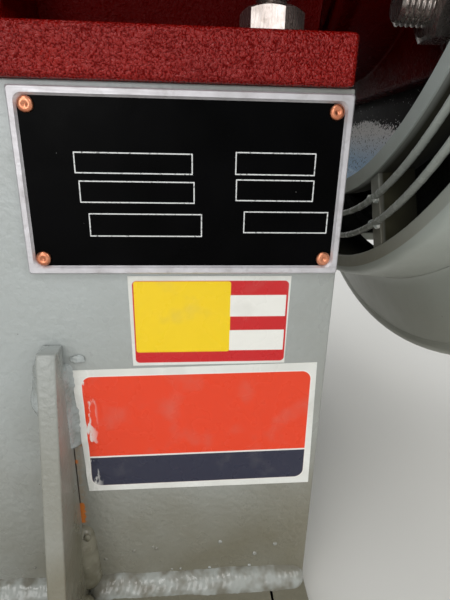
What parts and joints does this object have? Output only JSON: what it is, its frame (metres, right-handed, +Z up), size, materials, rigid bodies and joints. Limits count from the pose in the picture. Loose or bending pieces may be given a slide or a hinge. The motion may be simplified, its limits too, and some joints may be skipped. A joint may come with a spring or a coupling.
{
  "type": "electric motor siren",
  "caption": "Double-ended electric motor siren: a foot-mounted motor on a welded pedestal drives a ported rotor in a flared, wire-guarded sound head at each end.",
  "frame": {"origin": "middle of the underside of the base plate", "axes": "+X along the motor shaft, the front plate with the nameplate faces -Y, +Z up"},
  "size_m": [0.488, 0.456, 0.53],
  "materials": {
    "pedestal_paint": "grey gloss enamel with a light orange-peel, on welded steel plate",
    "head_paint": "grey gloss enamel on aluminium castings",
    "motor_paint": "red enamel on coarse cast iron",
    "zinc_steel": "bright zinc-plated fasteners",
    "shaft_steel": "turned steel",
    "nameplate_aluminium": "satin aluminium frame round a black etched field",
    "copper_rivets": "copper-coloured rivets"
  },
  "bodies": {
    "root": {"base_plate": "pedestal_paint", "front_plate": "pedestal_paint", "rear_plate": "pedestal_paint", "top_plate": "pedestal_paint", "front_gusset": "pedestal_paint", "rear_gusset": "pedestal_paint", "front_weld": "pedestal_paint", "rear_weld": "pedestal_paint", "motor_frame": "motor_paint", "right_end_shield": "motor_paint", "left_end_shield": "motor_paint", "terminal_box": "motor_paint", "terminal_lid": "motor_paint", "cable_gland": "zinc_steel", "lifting_eye": "zinc_steel", "foot_studs": "zinc_steel", "right_flange_studs": "zinc_steel", "left_flange_studs": "zinc_steel", "right_head_back": "head_paint", "left_head_back": "head_paint", "right_intake_spokes": "head_paint", "left_intake_spokes": "head_paint", "right_intake_ring": "head_paint", "left_intake_ring": "head_paint", "right_rear_flare": "head_paint", "left_rear_flare": "head_paint", "right_stator": "head_paint", "left_stator": "head_paint", "right_head_front": "head_paint", "left_head_front": "head_paint", "right_rear_guard": "head_paint", "left_rear_guard": "head_paint", "right_front_guard": "head_paint", "left_front_guard": "head_paint", "right_cap": "head_paint", "left_cap": "head_paint", "nameplate": "nameplate_aluminium", "nameplate_rivets": "copper_rivets"},
    "rotor": {"shaft": "shaft_steel", "right_rotor": "head_paint", "left_rotor": "head_paint"}
  },
  "joints": [
    {"name": "rotor_spin", "type": "hinge", "parent": "root", "child": "rotor", "pos_m": [0, 0, 0.302], "axis": [1, 0, 0], "continuous": true}
  ]
}
